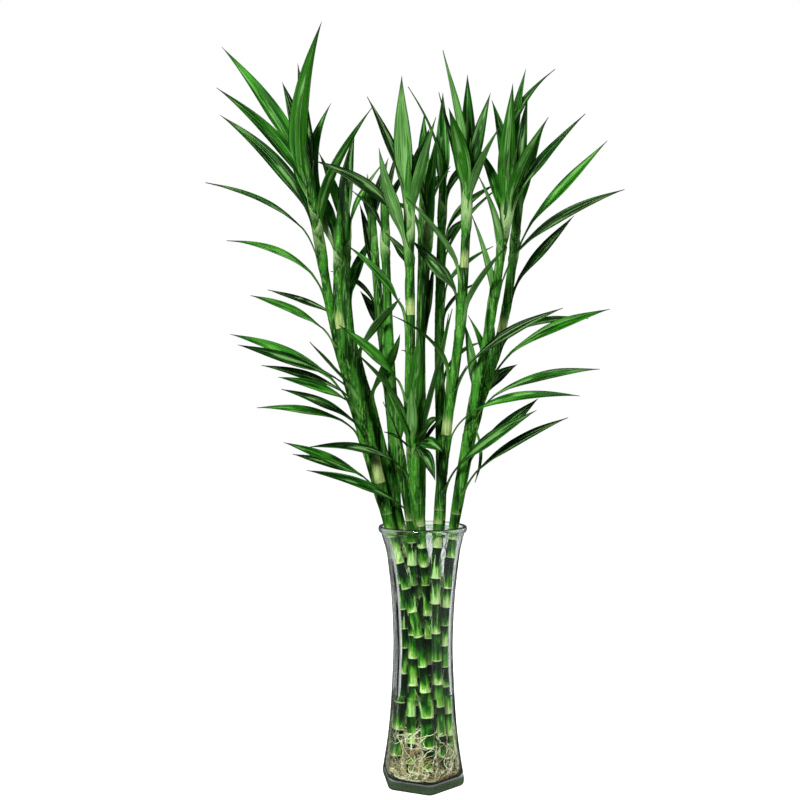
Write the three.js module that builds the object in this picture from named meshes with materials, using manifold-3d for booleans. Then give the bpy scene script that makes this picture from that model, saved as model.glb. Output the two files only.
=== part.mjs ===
import * as THREE from 'three';
import { mergeVertices } from 'three/addons/utils/BufferGeometryUtils.js';
import Module from 'manifold-3d';

// Lucky bamboo: twelve leafy stems stand in water in a six-sided glass vase.
// Millimetres, +Z up, +X to the right, -Y to the front.
// The origin is the middle of the flat foot of the vase.

const wasm = await Module();
wasm.setup();

const clearance = 0.35;

// Vase: the wall's half width across the flats at each height, and how six-sided it is there,
// from 0 for round to 1 for six flat sides.
const vaseCornerAngle = 9;
const vaseSides = 6;
const vaseSegments = 24;
const vaseWall = 3.9;
const vaseFloor = 10;
const vaseOutside = [
  [0, 41.5, 1], [2.5, 44.4, 1], [8, 45, 1], [48, 39.2, 1], [84, 36, 1],
  [150, 33.1, 1], [186, 33.7, 1], [222, 35.8, 1], [246, 38.8, 0.85], [270, 43.2, 0.5],
  [287, 48.4, 0.15], [294, 51, 0],
];
const vaseLip = [[295.5, 52.6, 0], [298.5, 52.8, 0], [300, 51, 0], [299.5, 48.6, 0], [296, 47.4, 0]];
const vaseFloorCorner = 4;

// Water
const waterTop = 102;
const waterFootGap = 2;
const waterHeights = [18, 48, 84, waterTop];
const rootChamberTop = 50;
const rootChamberBevel = 8;
const rootChamberShare = 0.9;
const rootChamberRoofShare = 0.6;

// Stems
const stemSides = 6;
const stemFootRadius = 5.3;
const stemSheathRadius = 6.3;
const stemTopRadius = 5;
const stemSheathFrom = 265;
const stemSheathTo = 350;
const stemFullHeight = 700;
const internodeLow = 29;
const internodeHigh = 78;
const internodeChange = 330;
const nodeRingSwell = 1.07;
const nodeRingNeck = 0.96;
const nodeRingDepth = 2;
const firstNodeLow = 0.45;
const firstNodeSpread = 0.5;
const firstNodeStep = 0.618;
const topNodeGap = 20;
const spearLength = 46;
const stemHoleGap = clearance * 1.3;
const stemHoleOverrun = 6;

// Leaves
const bladeThickness = 1.5;
const bladeFold = 0.16;
const bladeBaseShare = 0.32;
const bladeWidestUpright = 0.44;
const bladeWidestSpread = 0.6;
const bladeBendShift = 0.1;
const bladeBaseFlare = 1.2;
const bladeTipRound = 2.2;
const bladeTipDraw = 0.35;
const bladeTipThinning = 0.4;
const bladeTurnFrom = 0.05;
const bladeTurnTo = 0.6;
const bladeStations = [0, 0.16, 0.33, 0.5, 0.66, 0.82, 1];

// Roots
const rootsPerStem = 3;
const rootRadius = 1.1;
const rootSides = 3;
const rootSteps = 3;
const rootMatTop = 15;
const rootMatShare = 0.84;
const rootMatBevel = 2;
const rootSeed = 7;
const strandAboveMat = 6;
const strandBelowRoof = 8;
const strandSwing = 3;
const strandReachLeast = 7;
const strandReachMost = 21;

// Each stem has a route, in rows of height, x and y of its centre line, and its leaves.
// A leaf's row: height of its root on the stem, then x, y and z of its tip, its width,
// its arch as a share of its length, a sideways bend of its middle, and its roll in degrees,
// which turns its upper face to the front.
const stems = [
  { // front left
    route: [[10, 7, -26], [150, -1, -20], [225, -18, -19], [300, -38, -13], [420, -66, -22],
      [540, -97, -36], [645, -99, -15]],
    leaves: [
      [630, -113, 36, 820, 21, 0.02, -30, 20],
      [625, -153, 60, 741, 20, 0.06, 0, 10],
      [462, -208, -75, 509, 15, 0.03, 0, 60],
      [446, -186, -45, 488, 15, 0.05, 0, 40],
      [436, -160, -95, 472, 13, 0.05, 0, 60],
      [408, -168, -10, 462, 16, 0.06, 0, 35],
      [345, -158, -60, 400, 16, 0.03, 0, 45],
      [458, -126, -88, 511, 18, -0.02, 0, 40],
    ],
  },
  { // tall one at the far left
    route: [[10, -28, -5], [150, -22, -1], [225, -26, -3], [300, -41, 4], [420, -75, 2],
      [540, -106, -5], [700, -131, -38]],
    leaves: [
      [662, -115, -75, 873, 23, 0.03, -22, 0],
      [680, -237, -25, 865, 21, 0.06, 0, 65],
      [645, -233, -75, 798, 22, 0.12, 0, 70],
      [635, -250, 30, 803, 19, 0.08, 0, 60],
      [690, -175, 45, 850, 18, 0.04, 0, 40],
      [682, -155, 40, 872, 18, 0.02, 0, 45],
      [632, -58, -78, 775, 18, 0.03, -12, 0],
      [626, -248, -60, 695, 13, 0.1, 0, 50],
      [575, -247, 60, 653, 14, 0.1, 0, 40],
      [520, -197, -55, 567, 14, 0.06, 0, 60],
      [450, -240, 50, 533, 15, 0.07, 0, 50],
      [413, -207, 55, 441, 15, 0.06, 0, 40],
      [352, -154, -10, 385, 15, 0.02, 0, 50],
    ],
  },
  { // front, left of the middle
    route: [[10, 8, -10], [150, 6, -7], [225, 5, -11], [300, -3, -25], [420, -15, -30],
      [540, -15, -42], [690, -17, -56]],
    leaves: [
      [665, -25, -72, 813, 23, 0.01, -5, 0],
      [668, -65, -45, 799, 18, 0.03, 0, 45],
      [665, 8, -28, 768, 17, 0.04, 0, 45],
      [625, -50, -97, 723, 19, 0, -6, 0],
      [650, 13, -80, 763, 18, 0.01, 0, 0],
      [628, -122, -84, 713, 20, 0.12, 0, 65],
      [588, -44, -40, 642, 16, 0.08, 0, 40],
      [533, -85, -88, 618, 18, 0.07, 0, 60],
      [452, -95, -75, 531, 18, 0.04, 0, 60],
      [420, -79, -98, 503, 18, 0.04, 0, 20],
      [388, 21, -68, 389, 16, 0.21, 0, 50],
      [388, 14, -62, 426, 14, 0.08, 0, 40],
      [385, -45, -58, 412, 12, 0.1, 0, 30],
      [392, -42, -54, 462, 14, 0, 0, 20],
      [390, 12, -74, 358, 14, 0.2, 0, 50],
      [390, -14, -60, 466, 14, 0.02, 0, 0],
      [358, -129, -68, 395, 16, 0.11, 0, 45],
      [308, -131, -70, 369, 15, 0.07, 0, 45],
      [412, -5, -75, 526, 19, 0.05, 3, 0],
    ],
  },
  { // front, right of the middle
    route: [[10, 21, -20], [150, 15, -16], [225, 13.5, -22], [300, 17, -21], [420, 28, -28],
      [540, 43, -40], [700, 51, -56]],
    leaves: [
      [678, 22, -62, 846, 26, 0.02, -1, 0],
      [672, 18, -45, 804, 17, 0.02, -4, 20],
      [670, 26, -105, 765, 20, 0.09, 0, 0],
      [680, 53, -18, 835, 19, 0.03, 0, 15],
      [675, 77, -50, 801, 19, 0, -3, 55],
      [665, 84, -92, 750, 16, 0.06, 0, 10],
      [590, -20, -88, 671, 17, 0.04, 0, 15],
      [562, -13, -12, 639, 17, 0.02, 0, 60],
      [543, 90, -84, 617, 18, 0.04, 0, 20],
      [462, -35, -80, 541, 17, 0.15, 0, 20],
      [468, 156, -68, 551, 16, 0.07, 0, 55],
      [412, 173, -75, 452, 14, 0.11, 0, 45],
      [350, 124, -80, 436, 17, 0.04, 0, 60],
    ],
  },
  { // right
    route: [[10, 30, -9], [150, 23.5, -6.5], [225, 27, -12], [300, 36, -14], [420, 55, -20],
      [540, 78, -32], [690, 100, -46]],
    leaves: [
      [655, 101, -64, 807, 23, 0.01, 0, 0],
      [672, 121, -28, 838, 17, 0.02, -3, 30],
      [675, 158, -12, 844, 17, 0.16, 0, 25],
      [655, 181, -74, 769, 18, 0.05, 0, 60],
      [660, 136, -95, 758, 19, 0.05, 0, 0],
      [665, 82, -15, 806, 16, 0.03, 5, 30],
      [640, 64, 0, 757, 15, 0.08, 0, 30],
      [590, 226, -68, 685, 17, 0.09, 0, 55],
      [600, 59, -80, 700, 13, 0.08, 4, 20],
      [560, 56, -45, 661, 16, 0.03, 0, 0],
      [450, 48, -34, 538, 16, 0.02, 0, 0],
      [436, 203, -40, 484, 16, 0.08, 0, 40],
      [375, 142, 22, 452, 16, 0, 0, 50],
      [345, 160, -74, 428, 17, 0.05, 0, 45],
      [425, 61, -20, 352, 15, 0.11, 0, 0],
    ],
  },
  { // far right, behind
    route: [[10, 28, 12], [150, 22, 8], [225, 25, 4], [300, 38, 3], [420, 62, 4],
      [540, 97, 5], [685, 117, 5]],
    leaves: [
      [668, 131, 28, 824, 17, 0.04, 0, 15],
      [662, 157, 75, 800, 15, 0.03, 0, 0],
      [655, 105, 65, 791, 18, 0.02, 0, 0],
      [638, 231, 35, 773, 16, 0.01, 0, 40],
      [578, 194, 60, 685, 16, 0.01, 0, 30],
      [484, 235, 45, 564, 18, 0.06, 0, 35],
      [520, 219, 95, 558, 14, 0.06, 0, 30],
      [440, 120, 50, 495, 15, 0.1, 0, 40],
      [478, 57, 28, 554, 15, 0.05, 0, 0],
      [482, 84, 34, 572, 14, 0.03, 0, 0],
    ],
  },
  { // second from the left, behind
    route: [[10, -10, -1], [150, -4, 3], [225, -9, 7], [300, -26, 0], [420, -56, 5],
      [540, -89, 14], [675, -93, 26]],
    leaves: [
      [650, -84, 50, 788, 19, 0.03, -3, 0],
      [650, -47, 30, 745, 16, 0.05, 0, 25],
      [640, -133, 90, 775, 15, 0.05, 0, 0],
      [560, -62, 60, 659, 16, 0.06, 0, 20],
      [545, -196, 70, 592, 12, 0.02, 0, 40],
      [505, -27, -40, 566, 20, 0.05, 6, 0],
      [455, -27, -44, 524, 18, 0.02, 8, 10],
    ],
  },
  { // behind the front left stems, nearest the middle
    route: [[10, -13, -22], [150, -11, -9], [225, -12, -6], [300, -14, -8], [420, -33, 0],
      [540, -41, 7], [680, -46, 10]],
    leaves: [
      [645, -84, -4, 700, 16, 0.08, 0, 45],
      [372, -47, -10, 447, 15, 0.05, 0, 20],
      [400, -44, -22, 480, 14, 0.02, 0, 0],
      [390, -31, -20, 458, 14, 0.03, 0, 0],
      [665, -27, 22, 766, 16, 0.02, 0, 0],
      [660, -6, 55, 755, 14, 0.08, 0, 0],
    ],
  },
  { // middle
    route: [[10, 14, 7], [150, 10, 5], [225, 8, 3], [300, -2, 4], [420, -5, 9],
      [540, -1, 8], [680, 10, 0]],
    leaves: [
      [660, 16, -8, 763, 16, 0.02, 0, 0],
      [655, 34, 8, 733, 14, 0.08, 0, 0],
      [650, -9, 22, 736, 13, 0.08, 0, 0],
      [400, 30, -22, 550, 19, 0, 4, 20],
      [385, 2, 8, 456, 14, 0.05, 0, 0],
      [375, 36, -2, 440, 13, 0.08, 0, 30],
      [500, 14, 2, 620, 20, -0.03, 0, 50],
    ],
  },
  { // behind, right of the middle
    route: [[10, 14, 23], [150, 11, 18], [225, 12, 17], [300, 22, 15], [420, 22, 19],
      [540, 21, 24], [715, 26, 31]],
    leaves: [
      [700, -17, 12, 832, 16, 0.05, 6, 20],
      [695, 27, 48, 838, 18, 0.02, 0, 0],
      [690, 77, 92, 775, 16, 0.06, 0, 0],
      [640, 93, 20, 716, 17, 0.1, 0, 50],
      [600, 98, 10, 712, 15, 0.1, 0, 40],
      [575, 88, 30, 640, 14, 0.08, 0, 30],
      [620, 68, 112, 696, 13, 0.1, 0, 0],
      [540, 78, 72, 604, 13, 0.1, 0, 0],
      [470, 92, 112, 531, 12, 0.1, 0, 0],
      [470, 36, 8, 560, 17, 0.02, 0, 60],
      [400, 55, 30, 493, 13, 0.05, 0, 0],
    ],
  },
  { // behind, in the middle
    route: [[10, -4, 18], [150, -1, 16], [225, -3, 20], [300, -2, 25], [420, -1, 34],
      [540, -1, 43], [725, 3, 61]],
    leaves: [
      [705, 4, 72, 820, 16, 0.02, 0, 0],
      [700, -13, 150, 793, 15, 0.08, 0, 0],
      [690, 41, 142, 765, 15, 0.08, 0, 0],
      [660, -50, 150, 725, 14, 0.1, 0, 0],
      [560, 14, 150, 616, 13, 0.12, 0, 0],
      [470, -25, 140, 520, 12, 0.12, 0, 0],
      [395, 30, 130, 428, 12, 0.12, 0, 0],
    ],
  },
  { // behind, left of the middle
    route: [[10, -21, 14], [150, -15, 11], [225, -22, 9], [300, -30, 16], [420, -37, 23],
      [540, -50, 33], [690, -64, 46]],
    leaves: [
      [665, -42, 75, 763, 15, 0.03, 0, 0],
      [650, -78, 130, 740, 15, 0.1, 0, 0],
      [555, -119, 112, 623, 13, 0.1, 0, 0],
      [580, -78, 48, 698, 17, 0.02, 0, 30],
      [400, -52, 18, 486, 15, 0.02, 0, 30],
      [520, -79, 88, 593, 13, 0.08, 0, 20],
    ],
  },
];

// Colours
const glassLook = new THREE.MeshStandardMaterial({ color: 0xc9d6cf, roughness: 0.05, metalness: 0 });
const waterLook = new THREE.MeshStandardMaterial({ color: 0xbfd0c4, roughness: 0.03, metalness: 0 });
const rootLook = new THREE.MeshStandardMaterial({ color: 0xcdb892, roughness: 0.8, metalness: 0 });

function leafLook() {
  return new THREE.MeshStandardMaterial({ color: 0x2f7a2a, roughness: 0.45, metalness: 0 });
}

// A closed skin over rings of points. Each ring turns anticlockwise about the way the rings go,
// and a ring of one point closes to a tip. With evenSplit, the quads beside an even edge and an
// odd edge are cut along opposite diagonals, so both faces of a thin blade split alike.
function loft(rings, evenSplit = false) {
  const positions = [];
  const indices = [];
  const starts = [];
  for (const ring of rings) {
    starts.push(positions.length / 3);
    ring.forEach((point) => positions.push(point.x, point.y, point.z));
  }
  const sides = rings[0].length;
  for (let i = 0; i + 1 < rings.length; i += 1) {
    const low = starts[i];
    const high = starts[i + 1];
    const pointed = rings[i + 1].length === 1;
    for (let j = 0; j < sides; j += 1) {
      const k = (j + 1) % sides;
      if (pointed) {
        indices.push(low + j, low + k, high);
      } else if (evenSplit && j % 2 === 1) {
        indices.push(low + j, low + k, high + j, low + k, high + k, high + j);
      } else {
        indices.push(low + j, low + k, high + k, low + j, high + k, high + j);
      }
    }
  }
  const first = evenSplit ? 1 : 0;
  for (let j = 1; j + 1 < sides; j += 1) {
    const a = starts[0] + first;
    indices.push(a, starts[0] + ((first + j + 1) % sides), starts[0] + ((first + j) % sides));
  }
  const last = starts[rings.length - 1];
  if (rings[rings.length - 1].length > 1) {
    for (let j = 1; j + 1 < sides; j += 1) {
      indices.push(last + first, last + ((first + j) % sides), last + ((first + j + 1) % sides));
    }
  }
  const geometry = new THREE.BufferGeometry();
  geometry.setAttribute('position', new THREE.Float32BufferAttribute(positions, 3));
  geometry.setIndex(indices);
  return geometry;
}

// Exact solids for joining and cutting, and back to a geometry with its largest body only,
// so that sealed hollows are filled and loose scraps are dropped.
function solidOf(geometry) {
  const bare = geometry.clone();
  bare.deleteAttribute('normal');
  bare.deleteAttribute('uv');
  const merged = mergeVertices(bare, 0.0005);
  const index = merged.getIndex().array;
  const kept = [];
  for (let i = 0; i < index.length; i += 3) {
    const [a, b, c] = [index[i], index[i + 1], index[i + 2]];
    if (a !== b && b !== c && c !== a) {
      kept.push(a, b, c);
    }
  }
  const vertProperties = new Float32Array(merged.getAttribute('position').array);
  return new wasm.Manifold(new wasm.Mesh({ numProp: 3, vertProperties, triVerts: new Uint32Array(kept) }));
}

function geometryOf(solid) {
  const mesh = solid.getMesh();
  const parent = Array.from({ length: mesh.numVert }, (_, i) => i);
  const find = (i) => {
    let root = i;
    while (parent[root] !== root) {
      root = parent[root];
    }
    parent[i] = root;
    return root;
  };
  const corners = mesh.triVerts;
  for (let i = 0; i < corners.length; i += 3) {
    parent[find(corners[i])] = find(corners[i + 1]);
    parent[find(corners[i + 2])] = find(corners[i + 1]);
  }
  const point = (i) => new THREE.Vector3().fromArray(mesh.vertProperties, i * mesh.numProp);
  const volumes = new Map();
  for (let i = 0; i < corners.length; i += 3) {
    const body = find(corners[i]);
    const share = point(corners[i]).dot(point(corners[i + 1]).cross(point(corners[i + 2]))) / 6;
    volumes.set(body, (volumes.get(body) ?? 0) + share);
  }
  const largest = [...volumes.entries()].sort((a, b) => b[1] - a[1])[0][0];
  const positions = [];
  for (let i = 0; i < corners.length; i += 3) {
    if (find(corners[i]) === largest) {
      for (const corner of corners.slice(i, i + 3)) {
        positions.push(...point(corner).toArray());
      }
    }
  }
  const geometry = new THREE.BufferGeometry();
  geometry.setAttribute('position', new THREE.Float32BufferAttribute(positions, 3));
  const merged = mergeVertices(geometry, 0.0005);
  merged.computeVertexNormals();
  return merged;
}

function joined(solids) {
  return solids.reduce((whole, solid) => whole.add(solid));
}

function part(name, geometry, look) {
  const mesh = new THREE.Mesh(geometry, look);
  mesh.name = name;
  return mesh;
}

// Half width across the flats of the vase at a height, and how six-sided it is.
function vaseSection(z) {
  let i = 0;
  while (i + 2 < vaseOutside.length && vaseOutside[i + 1][0] < z) {
    i += 1;
  }
  const [low, high] = [vaseOutside[i], vaseOutside[i + 1]];
  const t = THREE.MathUtils.clamp((z - low[0]) / (high[0] - low[0]), 0, 1);
  return [low[1] + (high[1] - low[1]) * t, low[2] + (high[2] - low[2]) * t];
}

function sixSided(angle, share) {
  const corner = THREE.MathUtils.degToRad(vaseCornerAngle);
  const sector = Math.PI / 3;
  const turn = (((angle - corner) % sector) + sector) % sector;
  return 1 + share * (1 / Math.cos(turn - sector / 2) - 1);
}

// A turned shape whose round sections become six-sided where its profile says so.
// The profile's rows are height, half width and six-sidedness, from the axis round to the axis.
function sixSidedLathe(profile, segments = vaseSides) {
  const points = profile.map(([z, width]) => new THREE.Vector2(width, z));
  const start = THREE.MathUtils.degToRad(vaseCornerAngle);
  const geometry = new THREE.LatheGeometry(points, segments, start, Math.PI * 2);
  geometry.rotateX(Math.PI / 2);
  const position = geometry.getAttribute('position');
  for (let i = 0; i < position.count; i += 1) {
    const share = profile[i % profile.length][2];
    const factor = sixSided(Math.atan2(position.getX(i), -position.getY(i)), share);
    position.setXY(i, position.getX(i) * factor, position.getY(i) * factor);
  }
  return geometry;
}

function vaseSolid() {
  const inside = vaseOutside
    .filter(([z]) => z > vaseFloor + vaseFloorCorner)
    .map(([z, width, share]) => [z, width - vaseWall, share])
    .reverse();
  const [cornerWidth] = vaseSection(vaseFloor + vaseFloorCorner);
  return solidOf(sixSidedLathe([
    [0, 0, 1],
    ...vaseOutside,
    ...vaseLip,
    ...inside,
    [vaseFloor + vaseFloorCorner, cornerWidth - vaseWall, 1],
    [vaseFloor + vaseFloorCorner * 0.25, cornerWidth - vaseWall - vaseFloorCorner * 0.3, 1],
    [vaseFloor, cornerWidth - vaseWall - vaseFloorCorner, 1],
    [vaseFloor, 0, 1],
  ], vaseSegments));
}

// A point of a stem's centre line: a smooth curve through the rows of its route.
function stemPoint(route, z) {
  const last = route.length - 1;
  const slope = (i, axis) => {
    const before = route[Math.max(i - 1, 0)];
    const after = route[Math.min(i + 1, last)];
    return (after[axis] - before[axis]) / (after[0] - before[0]);
  };
  let i = 0;
  while (i + 2 < route.length && route[i + 1][0] < z) {
    i += 1;
  }
  const run = route[i + 1][0] - route[i][0];
  const t = (z - route[i][0]) / run;
  const place = (axis) => {
    if (t > 1) {
      return route[i + 1][axis] + slope(i + 1, axis) * (t - 1) * run;
    }
    return (2 * t ** 3 - 3 * t ** 2 + 1) * route[i][axis]
      + (t ** 3 - 2 * t ** 2 + t) * run * slope(i, axis)
      + (3 * t ** 2 - 2 * t ** 3) * route[i + 1][axis]
      + (t ** 3 - t ** 2) * run * slope(i + 1, axis);
  };
  return new THREE.Vector3(place(1), place(2), z);
}

// A stem is thickest just above the vase, where leaf sheaths wrap it.
function stemRadius(z) {
  const wrapped = THREE.MathUtils.smoothstep(z, stemSheathFrom, stemSheathTo);
  const slimmed = THREE.MathUtils.clamp((z - stemSheathTo) / (stemFullHeight - stemSheathTo), 0, 1);
  return stemFootRadius + (stemSheathRadius - stemFootRadius) * wrapped
    - (stemSheathRadius - stemTopRadius) * slimmed;
}

function stemRing(route, z, radius, sides) {
  const centre = stemPoint(route, z);
  const ring = [];
  for (let j = 0; j < sides; j += 1) {
    const angle = (j / sides) * Math.PI * 2;
    ring.push(new THREE.Vector3(radius * Math.cos(angle), radius * Math.sin(angle), 0).add(centre));
  }
  return ring;
}

// Heights of a stem's nodes. Each stem starts at its own share of an internode.
function nodeHeights(route, order) {
  const foot = route[0][0];
  const top = route[route.length - 1][0];
  const heights = [];
  let z = foot + internodeLow * (firstNodeLow + firstNodeSpread * ((order * firstNodeStep) % 1));
  while (z < top - topNodeGap) {
    heights.push(z);
    z += z < internodeChange ? internodeLow : internodeHigh;
  }
  return heights;
}

function stemTube(route, order) {
  const foot = route[0][0] + clearance;
  const top = route[route.length - 1][0];
  const rings = [stemRing(route, foot, stemRadius(foot), stemSides)];
  for (const z of nodeHeights(route, order)) {
    rings.push(stemRing(route, z, stemRadius(z) * nodeRingSwell, stemSides));
    rings.push(stemRing(route, z + nodeRingDepth, stemRadius(z) * nodeRingNeck, stemSides));
  }
  rings.push(stemRing(route, top, stemRadius(top), stemSides));
  rings.push([stemPoint(route, top + spearLength)]);
  return solidOf(loft(rings));
}

// Share of a leaf's full width along its length: a narrow channelled base, then the widest
// place, then a drawn-out tip.
function bladeShare(t, widest) {
  if (t < widest) {
    const flare = THREE.MathUtils.smoothstep(t / widest, 0.1, 1) ** bladeBaseFlare;
    return bladeBaseShare + (1 - bladeBaseShare) * flare;
  }
  const u = (t - widest) / (1 - widest);
  return (1 - u ** bladeTipRound) * (1 - bladeTipDraw * u ** 2);
}

// A leaf's rib is one bow from the stem's centre line to its tip. The blade is a thin shallow
// trough about the rib, which turns from the arch's plane by the leaf's roll.
function leafBlade(route, row) {
  const [height, x, y, z, width, arch, bend, roll] = row;
  const root = stemPoint(route, height);
  const tip = new THREE.Vector3(x, y, z);
  const chord = tip.clone().sub(root);
  const length = chord.length();
  const along = chord.clone().normalize();
  const up = new THREE.Vector3(0, 0, 1).addScaledVector(along, -along.z).normalize();
  const middle = root.clone().add(tip).multiplyScalar(0.5);
  middle.addScaledVector(up, arch * length).add(new THREE.Vector3(bend, 0, 0));
  const control = middle.clone().multiplyScalar(2).sub(root.clone().add(tip).multiplyScalar(0.5));
  control.addScaledVector(chord, -bladeBendShift);
  const steep = THREE.MathUtils.smoothstep(along.z, 0.5, 0.9);
  const widest = bladeWidestSpread + (bladeWidestUpright - bladeWidestSpread) * steep;
  const rib = new THREE.QuadraticBezierCurve3(root, control, tip);
  const facing = chord.x < 0 ? -1 : 1;
  const rings = bladeStations.map((t) => {
    const point = rib.getPoint(t);
    if (t === 1) {
      return [point];
    }
    const way = rib.getTangent(t);
    const turned = THREE.MathUtils.smoothstep(t, bladeTurnFrom, bladeTurnTo);
    const turn = facing * THREE.MathUtils.degToRad(roll) * turned;
    const face = up.clone().addScaledVector(way, -up.dot(way)).normalize().applyAxisAngle(way, turn);
    const side = new THREE.Vector3().crossVectors(face, way);
    const half = (width * bladeShare(t, widest)) / 2;
    const rise = half * bladeFold * 2;
    const thick = (bladeThickness / 2) * (1 - bladeTipThinning * t);
    const at = (across, over) => point.clone().addScaledVector(side, across).addScaledVector(face, over);
    return [at(half, rise), at(0, thick), at(-half, rise), at(0, -thick)];
  });
  return solidOf(loft(rings, true));
}

function leafyStem(stem, order) {
  const blades = stem.leaves.map((row) => leafBlade(stem.route, row));
  return joined([stemTube(stem.route, order), ...blades]);
}

// A plain hole about a stem, from one height to another.
function stemHole(route, low, high) {
  const steps = 3;
  const rings = [];
  for (let i = 0; i <= steps; i += 1) {
    const z = low + ((high - low) * i) / steps;
    rings.push(stemRing(route, z, stemFootRadius * nodeRingSwell + stemHoleGap, stemSides));
  }
  return solidOf(loft(rings));
}

// Seeded draws from 0 to 1.
function drawsFrom(seed) {
  let state = seed;
  return () => {
    state = (state * 16807) % 2147483647;
    return (state - 1) / 2147483646;
  };
}

// A thin three-sided root that starts beside a stem's foot, falls and runs into the mat.
function rootStrand(route, draw) {
  const lowest = rootMatTop + strandAboveMat;
  const start = lowest + draw() * (rootChamberTop - strandBelowRoof - lowest);
  const heading = draw() * Math.PI * 2;
  const swing = (draw() - 0.5) * strandSwing;
  const reach = strandReachLeast + draw() * (strandReachMost - strandReachLeast);
  const origin = stemPoint(route, start);
  const end = rootMatTop - rootRadius * 2;
  const rings = [];
  for (let i = 0; i <= rootSteps; i += 1) {
    const t = i / rootSteps;
    const angle = heading + swing * t;
    const out = stemFootRadius * nodeRingSwell + clearance + rootRadius + reach * t;
    const z = end + (start - end) * (1 - t ** 2);
    const place = new THREE.Vector2(origin.x + out * Math.cos(angle), origin.y + out * Math.sin(angle));
    const limit = (vaseSection(z)[0] - vaseWall) * rootMatShare - rootRadius;
    place.clampLength(0, limit);
    const ring = [];
    for (let j = 0; j < rootSides; j += 1) {
      const around = -(j / rootSides) * Math.PI * 2;
      const size = rootRadius * (1.2 - 0.4 * t);
      ring.push(new THREE.Vector3(
        place.x + size * Math.cos(around),
        place.y + size * Math.sin(around),
        z,
      ));
    }
    rings.push(ring);
  }
  return solidOf(loft(rings));
}

// The roots of all the stems: a low tangled mat on the floor of the vase, with strands up to
// the stems. The stems stand in plain holes.
function rootMat() {
  const draw = drawsFrom(rootSeed);
  const foot = vaseFloor + clearance;
  const width = (vaseSection(rootMatTop)[0] - vaseWall) * rootMatShare;
  const solids = [solidOf(sixSidedLathe([
    [foot, 0, 1],
    [foot, width - rootMatBevel, 1],
    [(foot + rootMatTop) / 2, width, 1],
    [rootMatTop, width - rootMatBevel, 1],
    [rootMatTop, 0, 1],
  ]))];
  for (const { route } of stems) {
    for (let i = 0; i < rootsPerStem; i += 1) {
      solids.push(rootStrand(route, draw));
    }
  }
  let mat = joined(solids);
  for (const { route } of stems) {
    mat = mat.subtract(stemHole(route, vaseFloor - stemHoleOverrun, rootChamberTop));
  }
  return mat;
}

// The water fills the vase up to its level, with a plain chamber over the roots that opens
// downwards, and plain holes for the stems.
function waterSolid() {
  const gap = vaseWall + clearance;
  const wet = waterHeights.map((z) => [z, vaseSection(z)[0] - gap, 1]);
  const base = vaseFloor + waterFootGap;
  const outer = solidOf(sixSidedLathe([
    [base, 0, 1],
    [base, vaseSection(base)[0] - gap - vaseFloorCorner, 1],
    ...wet,
    [waterTop, 0, 1],
  ]));
  const chamberFoot = base - stemHoleOverrun;
  const chamber = [
    [chamberFoot, rootChamberShare],
    [rootChamberTop - rootChamberBevel, rootChamberShare],
    [rootChamberTop, rootChamberRoofShare],
  ].map(([z, share]) => [z, (vaseSection(z)[0] - vaseWall) * share, 1]);
  const hollow = solidOf(sixSidedLathe([[chamberFoot, 0, 1], ...chamber, [rootChamberTop, 0, 1]]));
  let water = outer.subtract(hollow);
  for (const { route } of stems) {
    water = water.subtract(stemHole(route, vaseFloor - stemHoleOverrun, waterTop + stemHoleOverrun));
  }
  return water;
}

const bamboo = new THREE.Group();
bamboo.add(part('vase', geometryOf(vaseSolid()), glassLook));
bamboo.add(part('water', geometryOf(waterSolid()), waterLook));
bamboo.add(part('roots', geometryOf(rootMat()), rootLook));
stems.forEach((stem, i) => {
  const name = `stem_${String(i + 1).padStart(2, '0')}`;
  bamboo.add(part(name, geometryOf(leafyStem(stem, i)), leafLook()));
});

export default bamboo;
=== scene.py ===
import math
import random
import bmesh
import bpy
import numpy as np
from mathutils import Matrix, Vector


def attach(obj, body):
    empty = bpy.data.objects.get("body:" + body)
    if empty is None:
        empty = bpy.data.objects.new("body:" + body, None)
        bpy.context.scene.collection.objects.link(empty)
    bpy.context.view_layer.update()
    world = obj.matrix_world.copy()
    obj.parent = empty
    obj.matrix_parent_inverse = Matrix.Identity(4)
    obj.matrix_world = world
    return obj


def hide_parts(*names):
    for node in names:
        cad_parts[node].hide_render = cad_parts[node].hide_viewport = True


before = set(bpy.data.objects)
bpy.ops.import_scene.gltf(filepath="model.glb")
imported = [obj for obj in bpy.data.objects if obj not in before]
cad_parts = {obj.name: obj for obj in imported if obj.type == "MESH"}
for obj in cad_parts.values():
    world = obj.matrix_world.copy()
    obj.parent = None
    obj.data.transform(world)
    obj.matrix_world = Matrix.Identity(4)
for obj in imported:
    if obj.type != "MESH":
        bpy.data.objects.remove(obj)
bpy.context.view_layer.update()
scene = bpy.context.scene

# Lucky bamboo in a six-sided glass vase. Metres, +Z up, -Y to the front.
# The stems, vase and water keep the sizes of the solids that they stand for.

# points of a stem or a root that are nearer than this count as one
finestGap = 0.000001


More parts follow.
